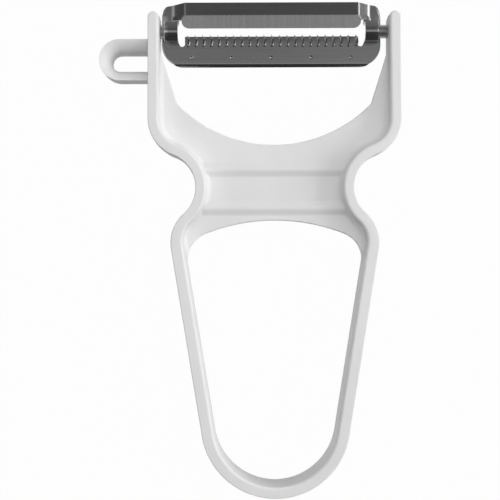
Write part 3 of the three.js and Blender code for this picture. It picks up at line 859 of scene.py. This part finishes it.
# one noise tints the surface, and a fine one varies its sheen and bump
def addSurface(tree, look, broad, fine, settings):
    low, high = look['rough']
    tints = [linearColour(look['dark']), linearColour(look['light'])]
    tint = addRamp(tree, list(zip(tintSpan, tints)), broad)
    rough = addNode(tree, 'ShaderNodeMapRange', {'To Min': low, 'To Max': high}, {'Value': fine})
    bump = addNode(tree, 'ShaderNodeBump', {'Strength': look['bump'], 'Distance': look['bumpDepth'] * mm},
                   {'Height': fine})
    shader = addNode(tree, 'ShaderNodeBsdfPrincipled', settings, {
        'Base Color': tint, 'Roughness': rough.outputs['Result'], 'Normal': bump.outputs['Normal']})
    addNode(tree, 'ShaderNodeOutputMaterial', {}, {'Surface': shader.outputs['BSDF']})


# grain and cloud in millimetres, as the bump's depth
plasticLook = {'dark': '#e4e4e4', 'light': '#e9e9e9', 'rough': (0.36, 0.46), 'bump': 0.05, 'bumpDepth': 0.02,
               'grain': 0.35, 'grainDetail': 3.0, 'cloud': 14, 'cloudDetail': 2.0}


# moulded white polystyrene: a soft satin sheen, faintly uneven, with the fine grain of the mould
def whitePolystyrene(look):
    material, tree = newMaterial('mouldedWhitePolystyrene')
    place = addNode(tree, 'ShaderNodeTexCoord').outputs['Object']
    grain = addNoise(tree, 1 / (look['grain'] * mm), look['grainDetail'], place)
    cloud = addNoise(tree, 1 / (look['cloud'] * mm), look['cloudDetail'], place)
    addSurface(tree, look, cloud, grain, {'IOR': 1.5})
    return material


# stainless steel: faint lines along the sheet or the wire, or across the ground edge, given per metre
steelLook = {'bump': 0.06, 'bumpDepth': 0.01, 'lineDetail': 4.0}
rolledLook = {'dark': '#b2b2b3', 'light': '#bcbcbd', 'rough': (0.15, 0.21), 'lines': (60, 3000, 3000)}
groundLook = {'dark': '#b8b8b9', 'light': '#c2c2c3', 'rough': (0.24, 0.32), 'lines': (2500, 80, 80)}
drawnLook = {'dark': '#a8a8a9', 'light': '#b6b6b7', 'rough': (0.34, 0.46), 'lines': (60, 2500, 2500)}


def stainless(name, look):
    material, tree = newMaterial(name)
    place = addNode(tree, 'ShaderNodeTexCoord').outputs['Object']
    stretch = addNode(tree, 'ShaderNodeMapping', {'Scale': look['lines']}, {'Vector': place})
    lines = addNoise(tree, 1.0, steelLook['lineDetail'], stretch.outputs['Vector'])
    addSurface(tree, {**look, **steelLook}, lines, lines, {'Metallic': 1.0})
    return material


def dress(piece, materials):
    piece.data.materials.clear()
    for material in materials:
        piece.data.materials.append(material)


plastic = whitePolystyrene(plasticLook)
rolledSteel = stainless('rolledStainlessSheet', rolledLook)
groundSteel = stainless('groundStainlessEdge', groundLook)
drawnSteel = stainless('drawnSteelWire', drawnLook)
dress(handle, [plastic])
dress(blade, [rolledSteel, groundSteel])
dress(leftPin, [drawnSteel])
dress(rightPin, [drawnSteel])

# the ground steel is the front of the bar below the line where the grinding starts
groundSlack = 0.05
groundFront = 0.5
groundLow = pivotY + b['cuttingEdge'] - groundSlack
groundHigh = pivotY + b['groundLine'] + groundSlack
groundReach = cuttingHalf + groundSlack
for face in blade.data.polygons:
    spots = [blade.data.vertices[i].co / mm for i in face.vertices]
    onBar = all(groundLow < p.y < groundHigh and abs(p.x - bladeShift) < groundReach for p in spots)
    face.material_index = 1 if onBar and face.normal.z > groundFront else 0
print("stage: materials")

for piece, body, node, slotName in (
    (handle, 'handle', 'handle', 'handle_plastic'),
    (blade, 'blade', 'blade', 'blade_steel'),
    (leftPin, 'handle', 'pivot_pin_left', 'pin_steel'),
    (rightPin, 'handle', 'pivot_pin_right', 'pin_steel'),
):
    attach(piece, body)
    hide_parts(node)

floorLook = {'size': 40.0, 'place': (0, 60, -0.3), 'paper': '#7c7c7c', 'white': '#ffffff', 'glow': 0.985}


# white to the eye and in the steel, with the peeler's soft shadow left on it
def whitePaper(look):
    material, tree = newMaterial('whitePaper')
    rays = addNode(tree, 'ShaderNodeLightPath').outputs
    seen = addNode(tree, 'ShaderNodeMath', {'operation': 'MAXIMUM'},
                   {0: rays['Is Camera Ray'], 1: rays['Is Glossy Ray']})
    seenToo = addNode(tree, 'ShaderNodeMath', {'operation': 'MAXIMUM'},
                      {0: seen.outputs[0], 1: rays['Is Transmission Ray']})
    share = addNode(tree, 'ShaderNodeMath', {'operation': 'MULTIPLY', 1: look['glow']},
                    {0: seenToo.outputs[0]})
    paper = addNode(tree, 'ShaderNodeBsdfDiffuse', {'Color': linearColour(look['paper'])})
    glow = addNode(tree, 'ShaderNodeEmission', {'Color': linearColour(look['white']), 'Strength': 1.0})
    mixed = addNode(tree, 'ShaderNodeMixShader', {},
                    {0: share.outputs[0], 1: paper.outputs[0], 2: glow.outputs[0]})
    addNode(tree, 'ShaderNodeOutputMaterial', {}, {'Surface': mixed.outputs[0]})
    return material


bpy.ops.mesh.primitive_plane_add(size=floorLook['size'], location=at(*floorLook['place']))
floor = bpy.context.object
floor.name = 'paleFloor'
dress(floor, [whitePaper(floorLook)])
print("stage: floor")

# a dim room as the steel shows it: light behind the camera, dark below, with a bright band on each side;
# each stop is a place from -Y to +Y, or from -X to +X, and its brightness
roomLook = {
    'upDown': [(0.0, 0.04), (0.38, 0.05), (0.44, 0.42), (0.54, 0.36), (0.592, 0.28), (0.612, 0.11),
               (0.69, 0.095), (0.80, 0.105), (0.92, 0.155), (1.0, 0.165)],
    'leftRight': [(0.0, 0.8), (0.22, 0.9), (0.25, 3.2), (0.38, 3.2), (0.435, 0.95), (0.50, 1.0),
                  (0.56, 1.24), (0.66, 1.4), (0.71, 3.4), (0.90, 3.4), (1.0, 2.4)],
}


def addGreys(tree, stops, socket):
    along = addNode(tree, 'ShaderNodeMapRange', {'From Min': -1.0, 'From Max': 1.0}, {'Value': socket})
    return addRamp(tree, [(place, (grey, grey, grey, 1)) for place, grey in stops], along.outputs['Result'])


world = bpy.data.worlds.new('studio')
bpy.context.scene.world = world
world.use_nodes = True
tree = world.node_tree
tree.nodes.clear()
direction = addNode(tree, 'ShaderNodeTexCoord')
axes = addNode(tree, 'ShaderNodeSeparateXYZ', {}, {'Vector': direction.outputs['Generated']})
upDown = addGreys(tree, roomLook['upDown'], axes.outputs['Y'])
leftRight = addGreys(tree, roomLook['leftRight'], axes.outputs['X'])
both = addNode(tree, 'ShaderNodeVectorMath', {'operation': 'MULTIPLY'}, {0: upDown, 1: leftRight})
sky = addNode(tree, 'ShaderNodeBackground', {'Strength': 1.0}, {'Color': both.outputs[0]})
addNode(tree, 'ShaderNodeOutputWorld', {}, {'Surface': sky.outputs[0]})

# lamps, in metres and watts; a card shows in reflections alone, the others give light alone
lampSizes = {
    'rightSoftbox': {'place': (0.50, 0.09, 0.20), 'size': (0.4, 0.26), 'power': 1.75, 'card': False},
    'overheadScrim': {'place': (0.0, 0.22, 0.60), 'size': (0.7, 0.7), 'power': 1.88, 'card': False},
    'leftFill': {'place': (-0.50, 0.24, 0.20), 'size': (0.4, 0.2), 'power': 0.22, 'card': False},
    'rightCard': {'place': (0.338, 0.281, 0.514), 'size': (0.17, 0.17), 'power': 0.22, 'card': True},
}
lampAim = Vector((0, 0.06, 0.005))
for name, sizes in lampSizes.items():
    lamp = bpy.data.objects.new(name, bpy.data.lights.new(name, 'AREA'))
    lamp.data.shape = 'RECTANGLE'
    lamp.data.size, lamp.data.size_y = sizes['size']
    lamp.data.energy = sizes['power']
    lamp.location = sizes['place']
    lamp.rotation_euler = (lampAim - Vector(sizes['place'])).to_track_quat('-Z', 'Y').to_euler()
    lamp.visible_glossy = sizes['card']
    lamp.visible_diffuse = not sizes['card']
    bpy.context.collection.objects.link(lamp)
print("stage: light")

# the peeler lay a touch askew under the lens
cameraSizes = {'place': (-0.0064, 0.06213, 0.286), 'roll': math.radians(-0.19), 'lens': 77.6, 'sensor': 36,
               'clipStart': 0.01}
camera = bpy.data.objects.new('camera', bpy.data.cameras.new('camera'))
camera.location = cameraSizes['place']
camera.rotation_euler = (0, 0, cameraSizes['roll'])
camera.data.lens = cameraSizes['lens']
camera.data.sensor_width = cameraSizes['sensor']
camera.data.clip_start = cameraSizes['clipStart']
bpy.context.collection.objects.link(camera)
bpy.context.scene.camera = camera
bpy.context.scene.view_settings.view_transform = 'Standard'
